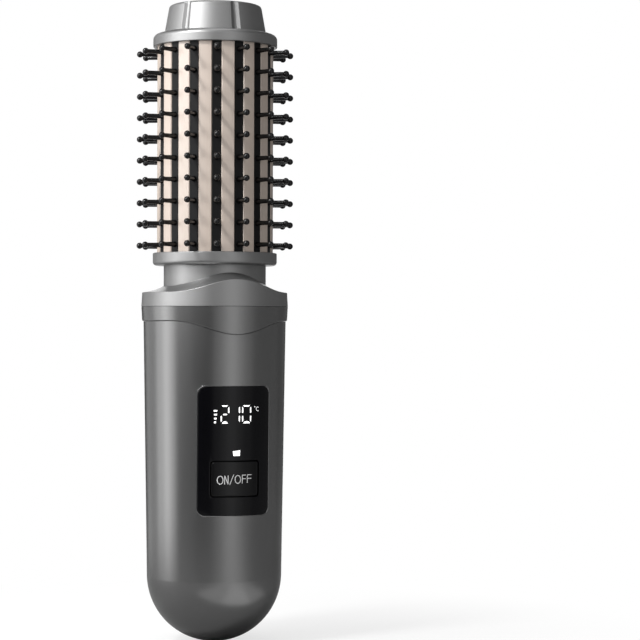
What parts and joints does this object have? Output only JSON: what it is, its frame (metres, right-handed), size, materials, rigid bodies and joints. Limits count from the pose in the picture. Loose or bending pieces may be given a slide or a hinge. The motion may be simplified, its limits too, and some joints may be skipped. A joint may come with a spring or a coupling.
{
  "type": "cordless heated round brush",
  "caption": "Cordless heated round hair brush: ribbed hot barrel with rows of ball-tipped pins, wavy collar, round-ended handle with display and push button.",
  "frame": {"origin": "lowest point of the round-ended handle, on the brush's long axis", "axes": "+Z along the brush from the handle to the tip cap; the display and the button face -Y; +X to the right seen from the display side"},
  "size_m": [0.0514, 0.0514, 0.2087],
  "materials": {
    "shell_paint": "satin metallic paint over moulded plastic, gunmetal grey",
    "barrel_coating": "champagne ceramic coating on an aluminium extrusion, satin",
    "bristle_nylon": "black heat-resistant nylon, half gloss",
    "insulation": "mica sheet",
    "ceramic_heater": "film-wrapped ceramic heater",
    "spring_steel": "spring steel",
    "sensor_body": "epoxy",
    "fuse_metal": "plain",
    "screw_steel": "zinc plated",
    "lens_gloss": "smoked gloss acrylic, opaque black outside the display",
    "button_gloss": "gloss black",
    "switch_plastic": "moulded",
    "led_plastic": "white epoxy and moulded case",
    "light_guide_clear": "clear polycarbonate",
    "circuit_board": "solder mask green",
    "chassis_plastic": "moulded ABS",
    "cell_wrap": null,
    "nickel": "nickel strip",
    "foam": "foam",
    "socket_steel": "stainless steel",
    "wire_silicone": "silicone insulated wire"
  },
  "bodies": {
    "brush": {"battery_cell_1": "cell_wrap", "battery_cell_2": "cell_wrap", "battery_leads": "wire_silicone", "battery_pad": "foam", "board_screws": "screw_steel", "bristle_strip_01": "bristle_nylon", "bristle_strip_02": "bristle_nylon", "bristle_strip_03": "bristle_nylon", "bristle_strip_04": "bristle_nylon", "bristle_strip_05": "bristle_nylon", "bristle_strip_06": "bristle_nylon", "bristle_strip_07": "bristle_nylon", "bristle_strip_08": "bristle_nylon", "bristle_strip_09": "bristle_nylon", "bristle_strip_10": "bristle_nylon", "bristle_strip_11": "bristle_nylon", "bristle_strip_12": "bristle_nylon", "bristle_strip_13": "bristle_nylon", "bristle_strip_14": "bristle_nylon", "bristle_strip_15": "bristle_nylon", "bristle_strip_16": "bristle_nylon", "cell_link": "nickel", "cell_tabs": "nickel", "charge_leads": "wire_silicone", "chassis": "chassis_plastic", "control_chip": "switch_plastic", "display_lens": "lens_gloss", "flange_screws": "screw_steel", "handle_shell": "shell_paint", "heater_barrel": "barrel_coating", "heater_leads": "wire_silicone", "heater_spring": "spring_steel", "led_display": "led_plastic", "light_guide": "light_guide_clear", "lower_insulator": "insulation", "lower_ring": "shell_paint", "main_board": "circuit_board", "neck_screws": "screw_steel", "neck_tube": "shell_paint", "power_transistor": "switch_plastic", "ptc_heater": "ceramic_heater", "sensor_leads": "wire_silicone", "status_led": "led_plastic", "tact_switch": "switch_plastic", "thermal_fuse": "fuse_metal", "thermistor": "sensor_body", "tip_cap": "shell_paint", "top_insulator": "insulation", "top_ring": "shell_paint", "top_screws": "screw_steel", "usb_board": "circuit_board", "usb_screws": "screw_steel", "usb_socket": "socket_steel", "wave_collar": "shell_paint"},
    "button": {"power_button": "button_gloss", "switch_plunger": "switch_plastic"}
  },
  "joints": [
    {"name": "power_button_press", "type": "slide", "parent": "brush", "child": "button", "axis": [0, 1, 0], "range_m": [0, 0.0006], "stiffness_N_per_m": 1500, "springref_m": -0.0006}
  ]
}
